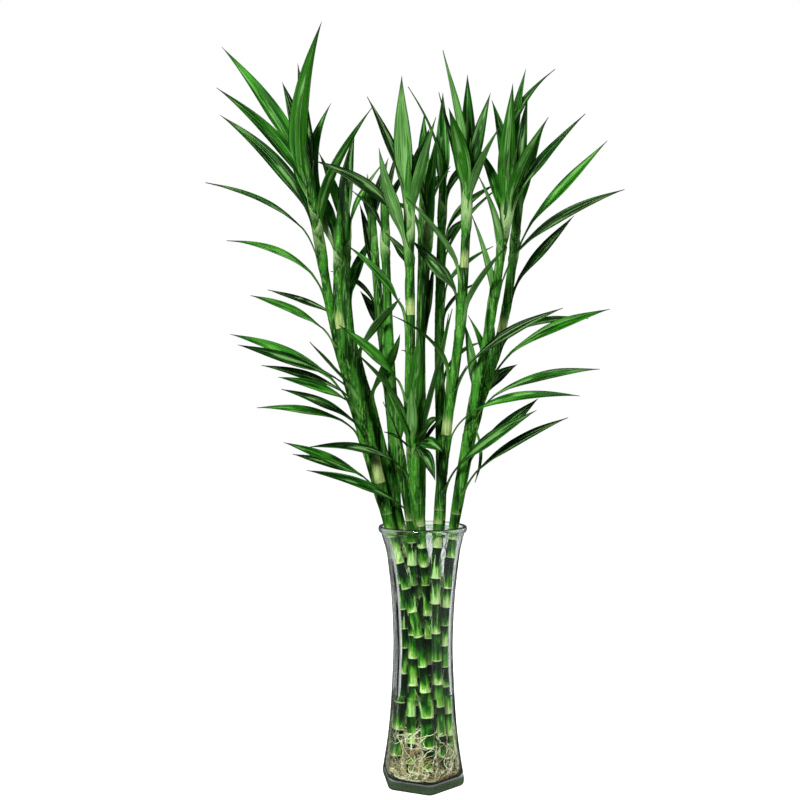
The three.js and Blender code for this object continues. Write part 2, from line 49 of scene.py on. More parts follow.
class Wire:
    # A socket of a node tree. Sums on wires add Math and Vector Math nodes,
    # and node() adds any other kind.
    def __init__(self, tree, socket=None):
        self.tree = tree
        self.socket = socket

    def node(self, kind, settings=None, sockets=None, out=0):
        made = self.tree.nodes.new(kind)
        for key, value in (settings or {}).items():
            if key == "stops":
                ramp = made.color_ramp.elements
                while len(ramp) < len(value):
                    ramp.new(1.0)
                for stop, (place, colour) in zip(ramp, value):
                    stop.position = place
                    stop.color = colour
            else:
                setattr(made, key, value)
        for key, value in (sockets or {}).items():
            if isinstance(value, Wire):
                self.tree.links.new(value.socket, made.inputs[key])
            else:
                made.inputs[key].default_value = value
        return Wire(self.tree, made.outputs[out])

    def sums(self, operation, *values):
        vector = [isinstance(v, tuple) or (isinstance(v, Wire) and v.socket.type == "VECTOR")
                  for v in values]
        if operation == "MULTIPLY" and any(vector) and not all(vector):
            way, by = values if vector[0] else values[::-1]
            return self.node("ShaderNodeVectorMath", {"operation": "SCALE"}, {0: way, "Scale": by})
        kind = "ShaderNodeVectorMath" if any(vector) else "ShaderNodeMath"
        return self.node(kind, {"operation": operation}, dict(enumerate(values)))

    def __add__(self, other):
        return self.sums("ADD", self, other)

    def __radd__(self, other):
        return self.sums("ADD", other, self)

    def __sub__(self, other):
        return self.sums("SUBTRACT", self, other)

    def __rsub__(self, other):
        return self.sums("SUBTRACT", other, self)

    def __mul__(self, other):
        return self.sums("MULTIPLY", self, other)

    def __rmul__(self, other):
        return self.sums("MULTIPLY", other, self)

    def __truediv__(self, other):
        return self.sums("DIVIDE", self, other)

    def __rtruediv__(self, other):
        return self.sums("DIVIDE", other, self)

    def __pow__(self, other):
        return self.sums("POWER", self, other)

    def does(self, operation, *others):
        return self.sums(operation, self, *others)

    def parts(self):
        apart = self.node("ShaderNodeSeparateXYZ", {}, {0: self})
        return [Wire(self.tree, apart.socket.node.outputs[i]) for i in range(3)]

    def between(self, low, high):
        # a smooth step from 0 at low to 1 at high
        settings = {"interpolation_type": "SMOOTHSTEP"}
        return self.node("ShaderNodeMapRange", settings, {"Value": self, "From Min": low, "From Max": high})

    def peak(self, sharpness):
        # a bell of height 1 where this is 0
        return (self * self * -sharpness).does("EXPONENT")

    def vector(self, x, y, z):
        return self.node("ShaderNodeCombineXYZ", {}, {0: x, 1: y, 2: z})

    def colours(self, first, second):
        # from the first colour where this is 0 to the second where it is 1
        return self.node("ShaderNodeMix", {"data_type": "RGBA"}, {0: self, 6: first, 7: second}, 2)

    def painted(self, *layers):
        # this colour under others, each laid over it by a share of its own
        colour = self
        for share, *tone in layers:
            colour = share.colours(colour, paint(*tone))
        return colour

    def ramp(self, *stops):
        return self.node("ShaderNodeValToRGB", {"stops": stops}, {"Fac": self})

    def noise(self, detail):
        # soft noise, where this wire gives the place
        return self.node("ShaderNodeTexNoise", {}, {"Vector": self, "Scale": 1.0, "Detail": detail})

    def bumps(self, strength, distance):
        return self.node("ShaderNodeBump", {}, {"Height": self, "Strength": strength, "Distance": distance})

    def attribute(self, name, out="Fac"):
        return self.node("ShaderNodeAttribute", {"attribute_name": name}, {}, out)

    def place(self, kind="Object"):
        return self.node("ShaderNodeTexCoord", {}, {}, kind)

    def ray(self, question):
        return self.node("ShaderNodeLightPath", {}, {}, question)

    def surface(self, sockets):
        return self.node("ShaderNodeBsdfPrincipled", {}, sockets)


def paint(*levels):
    # a colour as it looks on a screen, 0 to 255, as the linear one that shaders take
    return (*(((c / 255 + 0.055) / 1.055) ** 2.4 if c > 10 else c / 3295 for c in levels), 1.0)


def newTree(name, sizes):
    # a tree of geometry nodes: the sizes become its named inputs, and None stands for a material
    tree = bpy.data.node_groups.new(name, "GeometryNodeTree")
    tree.interface.new_socket("Guides", in_out="INPUT", socket_type="NodeSocketGeometry")
    for label, value in sizes.items():
        kind = "Material" if value is None else type(value).__name__.title()
        socket = tree.interface.new_socket(label, in_out="INPUT", socket_type="NodeSocket" + kind)
        if value is not None:
            socket.default_value = value
    tree.interface.new_socket("Geometry", in_out="OUTPUT", socket_type="NodeSocketGeometry")
    group = tree.nodes.new("NodeGroupInput")
    return tree, {s.name: Wire(tree, s) for s in group.outputs if s.name}


def endTree(tree, geometry, *finishes):
    # smooth shading and real instances, then the material where it wasn't set on the way
    smooth = geometry.node("GeometryNodeSetShadeSmooth", {}, {0: geometry})
    real = smooth.node("GeometryNodeRealizeInstances", {}, {0: smooth})
    for finish in finishes:
        real = finished(real, finish)
    output = tree.nodes.new("NodeGroupOutput")
    tree.links.new(real.socket, output.inputs[0])


def finished(geometry, finish):
    return geometry.node("GeometryNodeSetMaterial", {}, {"Geometry": geometry, "Material": finish})


def named(wire, name, kind="FLOAT"):
    return wire.node("GeometryNodeInputNamedAttribute", {"data_type": kind}, {"Name": name})


def kept(geometry, name, value, kind="FLOAT"):
    settings = {"data_type": kind, "domain": "POINT"}
    return geometry.node("GeometryNodeStoreNamedAttribute", settings,
                         {"Geometry": geometry, "Name": name, "Value": value})


def ringOf(wire, points):
    # a closed ring of points that each know their turn, from 0 to just under 1
    circle = wire.node("GeometryNodeCurvePrimitiveCircle", {}, {"Resolution": points})
    index = wire.node("GeometryNodeInputIndex")
    return kept(circle, "turn", index / points)


def swept(guides, ring, caps, scale=1.0):
    curve = guides.node("GeometryNodeMeshToCurve", {}, {"Mesh": guides})
    return curve.node("GeometryNodeCurveToMesh", {}, {
        "Curve": curve, "Profile Curve": ring, "Scale": scale, "Fill Caps": caps})


def placed(geometry, position):
    return geometry.node("GeometryNodeSetPosition", {}, {"Geometry": geometry, "Position": position})


def guideMesh(name, lines):
    # each line is a dictionary of arrays, one value or vector for each point of the line
    mesh = bpy.data.meshes.new(name)
    spine = np.concatenate([line["spine"] for line in lines])
    edges = []
    start = 0
    for line in lines:
        count = len(line["spine"])
        edges += [(start + i, start + i + 1) for i in range(count - 1)]
        start += count
    mesh.from_pydata(spine.tolist(), edges, [])
    for key in lines[0]:
        values = np.concatenate([np.asarray(line[key], np.float32) for line in lines])
        kind, field = ("FLOAT_VECTOR", "vector") if values.ndim == 2 else ("FLOAT", "value")
        mesh.attributes.new(key, kind, "POINT").data.foreach_set(field, values.ravel())
    return mesh


def growMesh(name, guides, tree, values):
    # runs the tree on the guides and keeps the result as a plain mesh
    holder = bpy.data.objects.new(name + "Guides", guides)
    scene.collection.objects.link(holder)
    modifier = holder.modifiers.new("growing", "NODES")
    modifier.node_group = tree
    for item in tree.interface.items_tree:
        if item.in_out == "INPUT" and item.name in values:
            modifier[item.identifier] = values[item.name]
    depsgraph = bpy.context.evaluated_depsgraph_get()
    mesh = bpy.data.meshes.new_from_object(holder.evaluated_get(depsgraph))
    mesh.name = name
    piece = bpy.data.objects.new(name, mesh)
    scene.collection.objects.link(piece)
    bpy.data.objects.remove(holder)
    bpy.data.meshes.remove(guides)
    return piece


def tidied(piece, gap):
    # closes poles and seams and turns every face outwards
    work = bmesh.new()
    work.from_mesh(piece.data)
    bmesh.ops.remove_doubles(work, verts=work.verts, dist=gap)
    bmesh.ops.recalc_face_normals(work, faces=work.faces)
    work.to_mesh(piece.data)
    work.free()
    return piece


def smoothStep(value, low, high):
    t = min(max((value - low) / (high - low), 0.0), 1.0)
    return t * t * (3 - 2 * t)


def segment(rows, z):
    # the number of the row below this height, and the share of the way on to the next row
    i = 0
    while i + 2 < len(rows) and rows[i + 1][0] < z:
        i += 1
    return i, (z - rows[i][0]) / (rows[i + 1][0] - rows[i][0])


def curveThrough(here, after, slopeHere, slopeAfter, t):
    # a smooth curve from one value to the next, t from 0 to 1
    return ((2 * t**3 - 3 * t**2 + 1) * here + (t**3 - 2 * t**2 + t) * slopeHere
            + (3 * t**2 - 2 * t**3) * after + (t**3 - t**2) * slopeAfter)


def unit(vector):
    return vector / np.linalg.norm(vector)


def squareTo(way, wanted):
    # the direction square to the way that is nearest to the wanted one
    return unit(wanted - way * way.dot(wanted))


def wayAt(points, i):
    return unit(points[min(i + 1, len(points) - 1)] - points[max(i - 1, 0)])


def newMaterial(name):
    material = bpy.data.materials.new(name)
    material.use_nodes = True
    material.node_tree.nodes.clear()
    return material, Wire(material.node_tree)


def endMaterial(material, surface):
    output = material.node_tree.nodes.new("ShaderNodeOutputMaterial")
    material.node_tree.links.new(surface.socket, output.inputs["Surface"])
    return material


print("building: camera and light")

view = {
    "eye": (-0.027, -1.076, 0.423),
    "rise": 22 / 900,  # how steeply it looks up
    "lens": 40.5,
    "sensor": 36,
    "nearest": 0.02,
}
cameraData = bpy.data.cameras.new("camera")
cameraData.lens = view["lens"]
cameraData.sensor_width = view["sensor"]
cameraData.clip_start = view["nearest"]
camera = bpy.data.objects.new("camera", cameraData)
camera.location = view["eye"]
camera.rotation_euler = (math.pi / 2 + math.atan(view["rise"]), 0, 0)
scene.collection.objects.link(camera)
scene.camera = camera
scene.view_settings.view_transform = "Standard"
scene.view_settings.look = "None"

studio = {
    "skyForCamera": 1.0,
    "skyThroughGlass": 0.7,
    "skyForLight": 0.055,
    "skyForGlossInFront": 0.02,
    "skyForGlossBehind": 0.12,
    "floorReach": 12,
    "floorGlow": 0.97,
    "floorGlowThroughGlass": 0.55,
    "floorGlowForLight": 0.02,
    "floorColour": (0.6, 0.6, 0.6, 1),
    "floorColourForLight": (0.05, 0.05, 0.05, 1),
    "lamps": [
        # place, aim, size, watts, and whether it shows in polished things
        ((-1.0, -2.0, 1.5), (0, 0, 0.45), 0.5, 64, True),
        ((1.4, -1.5, 0.8), (0, 0, 0.45), 0.6, 9, True),
        ((2.0, 0.7, 1.1), (0, 0, 0.45), 0.8, 22, False),
        ((0.3, 1.9, 1.7), (0, 0, 0.5), 0.9, 44, False),
    ],
}


def lookedAt(wire):
    # 1 where the camera sees a thing itself, 1 where it sees it straight through glass,
    # and 1 where it sees it through glass by way of a mirror image
    scattered = wire.ray("Diffuse Depth").does("MINIMUM", 1.0)
    mirrored = wire.ray("Glossy Depth").does("MINIMUM", 1.0)
    passed = wire.ray("Is Transmission Ray") * (1 - scattered)
    return wire.ray("Is Camera Ray"), passed * (1 - mirrored), passed * mirrored


def besideOrBehind(x, y):
    # 0 in front of the vase, where the studio is dark, and 1 at its sides and behind it
    return (y + x.does("ABSOLUTE") * 0.6).between(-0.1, 0.4)


world = bpy.data.worlds.new("studio")
world.use_nodes = True
world.node_tree.nodes.clear()
sky = Wire(world.node_tree)
seen, refracted, doubled = lookedAt(sky)
east, north, upward = sky.place("Generated").parts()
behind = besideOrBehind(east, north).does("MAXIMUM", upward.between(0.3, 0.7))
unseen = studio["skyForLight"]
front = studio["skyForGlossInFront"]
glow = (unseen + seen * (studio["skyForCamera"] - unseen)
        + refracted * (studio["skyThroughGlass"] - unseen)
        + doubled * (front - unseen + behind * (studio["skyThroughGlass"] - front))
        + sky.ray("Is Glossy Ray") * (front - unseen + behind * (studio["skyForGlossBehind"] - front)))
background = sky.node("ShaderNodeBackground", {}, {"Color": glow, "Strength": 1.0})
worldOutput = world.node_tree.nodes.new("ShaderNodeOutputWorld")
world.node_tree.links.new(background.socket, worldOutput.inputs["Surface"])
scene.world = world

for number, (place, aim, size, watts, shines) in enumerate(studio["lamps"]):
    lamp = bpy.data.lights.new(f"softbox{number}", "AREA")
    lamp.size = size
    lamp.energy = watts
    holder = bpy.data.objects.new(lamp.name, lamp)
    holder.location = place
    holder.visible_glossy = shines
    holder.rotation_euler = (Vector(aim) - Vector(place)).to_track_quat("-Z", "Y").to_euler()
    scene.collection.objects.link(holder)

floorMesh = bpy.data.meshes.new("floor")
reach = studio["floorReach"]
corners = [(-reach, -reach, 0), (reach, -reach, 0), (reach, reach, 0), (-reach, reach, 0)]
floorMesh.from_pydata(corners, [], [(0, 1, 2, 3)])
floor = bpy.data.objects.new("floor", floorMesh)
scene.collection.objects.link(floor)
floorPaper, paper = newMaterial("paleFloor")
seen, refracted, doubled = lookedAt(paper)
behind = besideOrBehind(*paper.place().parts()[:2])
unseen = studio["floorGlowForLight"]
glow = (unseen + seen * (studio["floorGlow"] - unseen)
        + (refracted + doubled * behind) * (studio["floorGlowThroughGlass"] - unseen))
colour = (seen + refracted).colours(studio["floorColourForLight"], studio["floorColour"])
endMaterial(floorPaper, paper.surface({
    "Base Color": colour, "Roughness": 0.9, "Specular IOR Level": 0.0,
    "Emission Color": glow, "Emission Strength": 1.0}))
floorMesh.materials.append(floorPaper)


print("building: vase and water")

vase = {
    "cornerAngle": 9,
    "cornerSoftness": 5,
    "wall": 0.0039,
    "floor": 0.010,
    "floorCorner": 0.004,
    "pointsAround": 192,
    "stepsInWall": 7,
    "joinedWithin": 0.00002,
    # height, half width across the flats, six-sidedness
    "foot": [(0, 0, 1), (0, 0.02, 1), (0, 0.038, 1), (0, 0.0412, 1), (0.0004, 0.0424, 1),
             (0.0012, 0.0436, 1), (0.0025, 0.0444, 1), (0.0045, 0.0449, 1)],
    "outside": [(0, 0.0415, 1), (0.0025, 0.0444, 1), (0.008, 0.045, 1), (0.048, 0.0392, 1),
                (0.084, 0.036, 1), (0.15, 0.0331, 1), (0.186, 0.0337, 1), (0.222, 0.0358, 1),
                (0.246, 0.0388, 0.85), (0.27, 0.0432, 0.5), (0.285, 0.0477, 0.2), (0.2915, 0.0497, 0)],
    "lip": [(0.2921, 0.0508, 0), (0.2931, 0.0519, 0), (0.2947, 0.0526, 0), (0.2967, 0.0529, 0),
            (0.2985, 0.0526, 0), (0.2996, 0.0519, 0), (0.3, 0.0507, 0), (0.2997, 0.0494, 0),
            (0.2985, 0.0483, 0), (0.296, 0.0473, 0)],
}
glassLook = {
    "darkFoot": (0.010, 0.017),  # from full to none
    "paleLip": (0.288, 0.293),  # from none to full
    "streaks": (70.0, 70.0, 2.2),
    "fineStreaks": (420.0, 420.0, 5.0),
    "waves": (24.0, 24.0, 10.0),
    "ior": 1.5,
}
water = {
    "top": 0.102,
    "wetting": 0.0001,
    "meniscus": 0.0014,
    "creep": 0.0016,
    "ringsOnWall": 24,
    "ringsOnTop": 34,
    "ior": 1.33,
}


def insideHalf(z):
    # half the width inside the glass at this height
    rows = vase["outside"]
    i, t = segment(rows, z)
    return rows[i][1] + (rows[i + 1][1] - rows[i][1]) * min(max(t, 0), 1) - vase["wall"]


def easedRows(rows, steps):
    # more rows on one smooth curve through the rows
    rows = np.array(rows, float)
    last = len(rows) - 1
    out = []
    for i in range(last):
        before, here, after, beyond = (rows[min(max(i + k, 0), last)] for k in (-1, 0, 1, 2))
        run = after[0] - here[0]
        slopeHere = (after - before) / (after[0] - before[0]) * run
        slopeAfter = (beyond - here) / (beyond[0] - here[0]) * run
        out += [curveThrough(here, after, slopeHere, slopeAfter, k / steps) for k in range(steps)]
    return [tuple(row) for row in out + [rows[-1]]]


def turnedTree():
    # turns a line of (height, half width, six-sidedness) round the axis
    tree, size = newTree("sixSidedTurning", {
        "Points Around": 96, "Corner Angle": 0.0, "Corner Softness": 0.0, "Finish": None})
    guides = size["Guides"]
    body = swept(guides, ringOf(guides, size["Points Around"]), False)
    angle = named(body, "turn") * (math.pi * 2)
    sector = math.pi / 3
    turned = (angle - size["Corner Angle"] + math.pi * 4) / sector
    fromFlat = (turned.does("FRACT") - 0.5).does("ABSOLUTE") * sector
    # corners ease off over the last few degrees before the edge
    over = (fromFlat - (sector / 2 - size["Corner Softness"])).does("MAXIMUM", 0.0)
    eased = fromFlat - over * over / (2 * size["Corner Softness"])
    factor = 1 + named(body, "sixSided") * (1 / eased.does("COSINE") - 1)
    out = named(body, "halfWidth") * factor
    position = body.vector(out * angle.does("SINE"), out * angle.does("COSINE") * -1, named(body, "height"))
    endTree(tree, placed(body, position), size["Finish"])
    return tree


def turnedPiece(name, rows, finish):
    height, halfWidth, sixSided = np.array(rows, float).T
    # the tree places each point by its own values, so the spine only has to keep the points apart
    spine = np.stack([np.arange(len(rows)) * 0.01, height * 0, height * 0], 1)
    line = {"spine": spine, "height": height, "halfWidth": halfWidth, "sixSided": sixSided}
    piece = growMesh(name, guideMesh(name, [line]), turning, {
        "Points Around": vase["pointsAround"], "Corner Angle": math.radians(vase["cornerAngle"]),
        "Corner Softness": math.radians(vase["cornerSoftness"]), "Finish": finish})
    return tidied(piece, vase["joinedWithin"])


def clearSurface(wire, sockets, shadow):
    # light goes straight through for shadows, so that what stands inside is lit
    clear = wire.surface({**sockets, "Roughness": 0.0, "Transmission Weight": 1.0})
    through = wire.node("ShaderNodeBsdfTransparent", {}, {"Color": shadow})
    return wire.node("ShaderNodeMixShader", {}, {0: wire.ray("Is Shadow Ray"), 1: clear, 2: through})


def glassMaterial():
    material, glass = newMaterial("clearGlass")
    at = glass.place()
    z = at.parts()[2]
    streaks = (at * glassLook["streaks"]).noise(3.0)
    fine = (at * glassLook["fineStreaks"]).noise(2.0)
    waves = (at * glassLook["waves"]).noise(2.0)
    # painted shade: the glass's tint turns grey towards its outline, with grey streaks gathered mostly
    # there, in place of the dark that real glass shows at its edges
    edge = glass.node("ShaderNodeLayerWeight", {}, {"Blend": 0.5}, "Facing")
    edgeShadeAndStreaks = (edge ** 3.0) * 0.1 + streaks.between(0.52, 0.7) * (edge * 0.25 + 0.05)
    edgeShadeAndStreaks = edgeShadeAndStreaks + fine.between(0.58, 0.62) * (edge * 1.1 + 0.05)
    tint = edgeShadeAndStreaks.does("MINIMUM", 1.0).colours(paint(243, 246, 246), paint(92, 112, 98))
    tint = tint.painted((z.between(*glassLook["paleLip"]) * 0.6, 176, 204, 180),
                        (1 - z.between(*glassLook["darkFoot"]), 27, 44, 20))
    bump = (streaks + fine * 0.2 + waves * 0.6).bumps(0.2, 0.004)
    return endMaterial(material, clearSurface(glass, {
        "Base Color": tint, "IOR": glassLook["ior"], "Specular IOR Level": 0.5, "Normal": bump},
        paint(235, 242, 238)))


def waterMaterial():
    material, wet = newMaterial("clearWater")
    bump = (wet.place() * 60.0).noise(1.0).bumps(0.1, 0.0006)
    return endMaterial(material, clearSurface(wet, {
        "Base Color": paint(238, 244, 232), "IOR": water["ior"], "Specular IOR Level": 0.3, "Normal": bump},
        paint(240, 244, 238)))


turning = turnedTree()
corner = vase["floorCorner"]
foot = vase["floor"] + corner
wallRows = easedRows(vase["outside"][2:], vase["stepsInWall"])
insideRows = [(z, width - vase["wall"], share) for z, width, share in wallRows if z > foot][::-1]
cornerRows = [(foot - corner * math.sin(turn), insideHalf(foot) - corner * (1 - math.cos(turn)), 1)
              for turn in np.linspace(0, math.pi / 2, 7)]
floorWidth = cornerRows[-1][1]
floorRows = [(vase["floor"], floorWidth * share, 1) for share in (0.75, 0.5, 0.25, 0.0)]
vaseGlass = turnedPiece("vaseGlass", vase["foot"] + wallRows + vase["lip"] + insideRows + cornerRows
                        + floorRows, glassMaterial())
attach(vaseGlass, "root")
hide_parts("vase")


# Stems: each keeps its route and leaves, with rings, sheaths and fuller blades.

# This table alone is in millimetres and degrees. A route gives x and y at each of these heights and at
# the stem's own top. A pale band gives its middle and half its height. A leaf gives the height where it
# leaves its cane, the x, y and z of its tip, its width, its arch as a share of its length, its sideways
# bend, and its turn about its own length.

routeHeights = (10, 150, 225, 300, 420, 540)
stems = [
    {  # front left
        "top": 645,
        "route": [(7, -26), (-1, -20), (-18, -19), (-38, -13), (-66, -22), (-97, -36), (-99, -15)],
        "paleBands": [(541, 11), (371, 20)],
        "leaves": [
            (630, -113, 36, 820, 21, 0.02, -30, 20), (625, -153, 60, 741, 20, 0.06, 0, 10),
            (462, -208, -75, 509, 15, 0.03, 0, 60), (446, -186, -45, 488, 15, 0.05, 0, 40),
            (436, -160, -95, 472, 13, 0.05, 0, 60), (408, -168, -10, 462, 16, 0.06, 0, 35),
            (345, -158, -60, 400, 16, 0.03, 0, 45), (458, -126, -88, 511, 18, -0.02, 0, 40),
        ],
    },
    {  # tall one at the far left
        "top": 700,
        "route": [(-28, -5), (-22, -1), (-26, -3), (-41, 4), (-75, 2), (-106, -5), (-131, -38)],
        "leaves": [
            (662, -115, -75, 873, 23, 0.03, -22, 0), (680, -237, -25, 865, 21, 0.06, 0, 65),
            (645, -233, -75, 798, 22, 0.12, 0, 70), (635, -250, 30, 803, 19, 0.08, 0, 60),
            (690, -175, 45, 850, 18, 0.04, 0, 40), (682, -155, 40, 872, 18, 0.02, 0, 45),
            (632, -58, -78, 775, 18, 0.03, -12, 0), (626, -248, -60, 695, 13, 0.1, 0, 50),
            (575, -247, 60, 653, 14, 0.1, 0, 40), (520, -197, -55, 567, 14, 0.06, 0, 60),
            (450, -240, 50, 533, 15, 0.07, 0, 50), (413, -207, 55, 441, 15, 0.06, 0, 40),
            (352, -154, -10, 385, 15, 0.02, 0, 50),
        ],
    },
    {  # front, left of the middle
        "top": 690,
        "route": [(8, -10), (6, -7), (5, -11), (-3, -25), (-15, -30), (-15, -42), (-17, -56)],
        "paleBands": [(556, 11)],
        "leaves": [
            (665, -25, -72, 813, 23, 0.01, -5, 0), (668, -65, -45, 799, 18, 0.03, 0, 45),
            (665, 8, -28, 768, 17, 0.04, 0, 45), (625, -50, -97, 723, 19, 0, -6, 0),
            (650, 13, -80, 763, 18, 0.01, 0, 0), (628, -122, -84, 713, 20, 0.12, 0, 65),
            (588, -44, -40, 642, 16, 0.08, 0, 40), (533, -85, -88, 618, 18, 0.07, 0, 60),
            (452, -95, -75, 531, 18, 0.04, 0, 60), (420, -79, -98, 503, 18, 0.04, 0, 20),
            (388, 21, -68, 389, 16, 0.21, 0, 50), (388, 14, -62, 426, 14, 0.08, 0, 40),
            (385, -45, -58, 412, 12, 0.1, 0, 30), (392, -42, -54, 462, 14, 0, 0, 20),
            (390, 12, -74, 358, 14, 0.2, 0, 50), (390, -14, -60, 466, 14, 0.02, 0, 0),
            (358, -129, -68, 395, 16, 0.11, 0, 45), (308, -131, -70, 369, 15, 0.07, 0, 45),
            (412, -5, -75, 526, 19, 0.05, 3, 0),
        ],
    },
    {  # front, right of the middle
        "top": 700,
        "route": [(21, -20), (15, -16), (13.5, -22), (17, -21), (28, -28), (43, -40), (51, -56)],
        "paleBands": [(610, 11), (419, 12)],
        "leaves": [
            (678, 22, -62, 846, 26, 0.02, -1, 0), (672, 18, -45, 804, 17, 0.02, -4, 20),
            (670, 26, -105, 765, 20, 0.09, 0, 0), (680, 53, -18, 835, 19, 0.03, 0, 15),
            (675, 77, -50, 801, 19, 0, -3, 55), (665, 84, -92, 750, 16, 0.06, 0, 10),
            (590, -20, -88, 671, 17, 0.04, 0, 15), (562, -13, -12, 639, 17, 0.02, 0, 60),
            (543, 90, -84, 617, 18, 0.04, 0, 20), (462, -35, -80, 541, 17, 0.15, 0, 20),
            (468, 156, -68, 551, 16, 0.07, 0, 55), (412, 173, -75, 452, 14, 0.11, 0, 45),
            (350, 124, -80, 436, 17, 0.04, 0, 60),
        ],
    },
    {  # right
        "top": 690,
        "route": [(30, -9), (23.5, -6.5), (27, -12), (36, -14), (55, -20), (78, -32), (100, -46)],
        "paleBands": [(575, 9)],
        "leaves": [
            (655, 101, -64, 807, 23, 0.01, 0, 0), (672, 121, -28, 838, 17, 0.02, -3, 30),
            (675, 158, -12, 844, 17, 0.16, 0, 25), (655, 181, -74, 769, 18, 0.05, 0, 60),
            (660, 136, -95, 758, 19, 0.05, 0, 0), (665, 82, -15, 806, 16, 0.03, 5, 30),
            (640, 64, 0, 757, 15, 0.08, 0, 30), (590, 226, -68, 685, 17, 0.09, 0, 55),
            (600, 59, -80, 700, 13, 0.08, 4, 20), (560, 56, -45, 661, 16, 0.03, 0, 0),
            (450, 48, -34, 538, 16, 0.02, 0, 0), (436, 203, -40, 484, 16, 0.08, 0, 40),
            (375, 142, 22, 452, 16, 0, 0, 50), (345, 160, -74, 428, 17, 0.05, 0, 45),
            (425, 61, -20, 352, 15, 0.11, 0, 0),
        ],
    },
    {  # far right, behind
        "top": 685,
        "route": [(28, 12), (22, 8), (25, 4), (38, 3), (62, 4), (97, 5), (117, 5)],
        "paleBands": [(540, 11)],
        "leaves": [
            (668, 131, 28, 824, 17, 0.04, 0, 15), (662, 157, 75, 800, 15, 0.03, 0, 0),
            (655, 105, 65, 791, 18, 0.02, 0, 0), (638, 231, 35, 773, 16, 0.01, 0, 40),
            (578, 194, 60, 685, 16, 0.01, 0, 30), (484, 235, 45, 564, 18, 0.06, 0, 35),
            (520, 219, 95, 558, 14, 0.06, 0, 30), (440, 120, 50, 495, 15, 0.1, 0, 40),
            (478, 57, 28, 554, 15, 0.05, 0, 0), (482, 84, 34, 572, 14, 0.03, 0, 0),
        ],
    },
    {  # second from the left, behind
        "top": 675,
        "route": [(-10, -1), (-4, 3), (-9, 7), (-26, 0), (-56, 5), (-89, 14), (-93, 26)],
        "leaves": [
            (650, -84, 50, 788, 19, 0.03, -3, 0), (650, -47, 30, 745, 16, 0.05, 0, 25),
            (640, -133, 90, 775, 15, 0.05, 0, 0), (560, -62, 60, 659, 16, 0.06, 0, 20),
            (545, -196, 70, 592, 12, 0.02, 0, 40), (505, -27, -40, 566, 20, 0.05, 6, 0),
            (455, -27, -44, 524, 18, 0.02, 8, 10),
        ],
    },
    {  # behind the front left stems, nearest the middle
        "top": 680,
        "route": [(-13, -22), (-11, -9), (-12, -6), (-14, -8), (-33, 0), (-41, 7), (-46, 10)],
        "leaves": [
            (645, -84, -4, 700, 16, 0.08, 0, 45), (372, -47, -10, 447, 15, 0.05, 0, 20),
            (400, -44, -22, 480, 14, 0.02, 0, 0), (390, -31, -20, 458, 14, 0.03, 0, 0),
            (665, -27, 22, 766, 16, 0.02, 0, 0), (660, -6, 55, 755, 14, 0.08, 0, 0),
        ],
    },
    {  # middle
        "top": 680,
        "route": [(14, 7), (10, 5), (8, 3), (-2, 4), (-5, 9), (-1, 8), (10, 0)],
        "leaves": [
            (660, 16, -8, 763, 16, 0.02, 0, 0), (655, 34, 8, 733, 14, 0.08, 0, 0),
            (650, -9, 22, 736, 13, 0.08, 0, 0), (400, 30, -22, 550, 19, 0, 4, 20),
            (385, 2, 8, 456, 14, 0.05, 0, 0), (375, 36, -2, 440, 13, 0.08, 0, 30),
            (500, 14, 2, 620, 20, -0.03, 0, 50),
        ],
    },
    {  # behind, right of the middle
        "top": 715,
        "route": [(14, 23), (11, 18), (12, 17), (22, 15), (22, 19), (21, 24), (26, 31)],
        "leaves": [
            (700, -17, 12, 832, 16, 0.05, 6, 20), (695, 27, 48, 838, 18, 0.02, 0, 0),
            (690, 77, 92, 775, 16, 0.06, 0, 0), (640, 93, 20, 716, 17, 0.1, 0, 50),
            (600, 98, 10, 712, 15, 0.1, 0, 40), (575, 88, 30, 640, 14, 0.08, 0, 30),
            (620, 68, 112, 696, 13, 0.1, 0, 0), (540, 78, 72, 604, 13, 0.1, 0, 0),
            (470, 92, 112, 531, 12, 0.1, 0, 0), (470, 36, 8, 560, 17, 0.02, 0, 60),
            (400, 55, 30, 493, 13, 0.05, 0, 0),
        ],
    },
    {  # behind, in the middle
        "top": 725,
        "route": [(-4, 18), (-1, 16), (-3, 20), (-2, 25), (-1, 34), (-1, 43), (3, 61)],
        "leaves": [
            (705, 4, 72, 820, 16, 0.02, 0, 0), (700, -13, 150, 793, 15, 0.08, 0, 0),
            (690, 41, 142, 765, 15, 0.08, 0, 0), (660, -50, 150, 725, 14, 0.1, 0, 0),
            (560, 14, 150, 616, 13, 0.12, 0, 0), (470, -25, 140, 520, 12, 0.12, 0, 0),
            (395, 30, 130, 428, 12, 0.12, 0, 0),
        ],
    },
    {  # behind, left of the middle
        "top": 690,
        "route": [(-21, 14), (-15, 11), (-22, 9), (-30, 16), (-37, 23), (-50, 33), (-64, 46)],
        "leaves": [
            (665, -42, 75, 763, 15, 0.03, 0, 0), (650, -78, 130, 740, 15, 0.1, 0, 0),
            (555, -119, 112, 623, 13, 0.1, 0, 0), (580, -78, 48, 698, 17, 0.02, 0, 30),
            (400, -52, 18, 486, 15, 0.02, 0, 30), (520, -79, 88, 593, 13, 0.08, 0, 20),
        ],
    },
]

for stem in stems:
    heights = (*routeHeights, stem["top"])
    stem["route"] = [(z / 1000, x / 1000, y / 1000) for z, (x, y) in zip(heights, stem["route"])]
    stem["paleBands"] = [(middle / 1000, half / 1000) for middle, half in stem.get("paleBands", [])]
    stem["leaves"] = [(*(size / 1000 for size in row[:5]), row[5], row[6] / 1000, row[7])
                      for row in stem["leaves"]]

